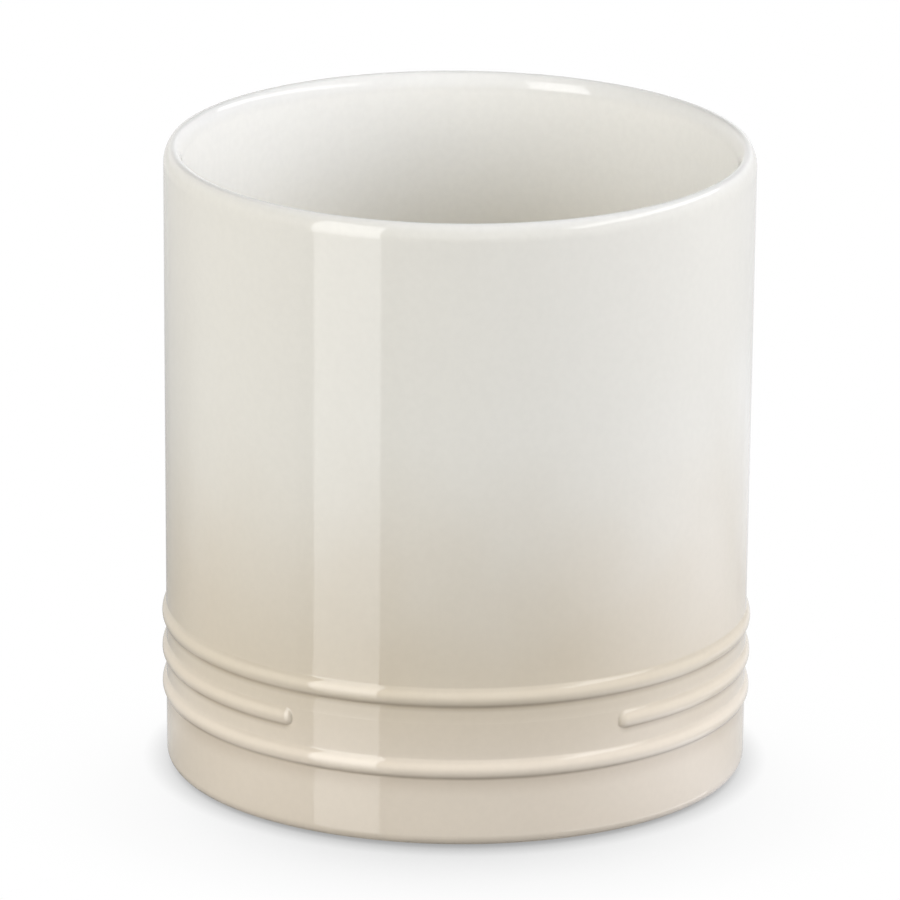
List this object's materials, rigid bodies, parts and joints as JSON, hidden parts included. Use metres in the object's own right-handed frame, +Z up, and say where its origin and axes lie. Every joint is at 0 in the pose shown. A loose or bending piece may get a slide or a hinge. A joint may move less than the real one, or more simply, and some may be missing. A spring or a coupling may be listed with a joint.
{
  "type": "utensil crock",
  "caption": "Straight-sided round stoneware crock, open at the top, with a rounded lip, raised rings low on the outside and fired glaze coats, for standing kitchen utensils in.",
  "frame": {"origin": "on the table, under the middle of the foot", "axes": "+Z up along the axis of the pot, -Y towards the front, where the middle ring has its gap"},
  "size_m": [0.153, 0.153, 0.165],
  "materials": {
    "fired_clay": "bare fired stoneware, matt and slightly gritty",
    "outer_glaze": "glossy glaze, cream at the top fading to warm beige towards the foot",
    "liner_glaze": "glossy warm white glaze"
  },
  "bodies": {
    "root": {"stoneware_body": "fired_clay", "outer_glaze": "outer_glaze", "inner_glaze": "liner_glaze", "base_glaze": "outer_glaze"}
  },
  "joints": []
}
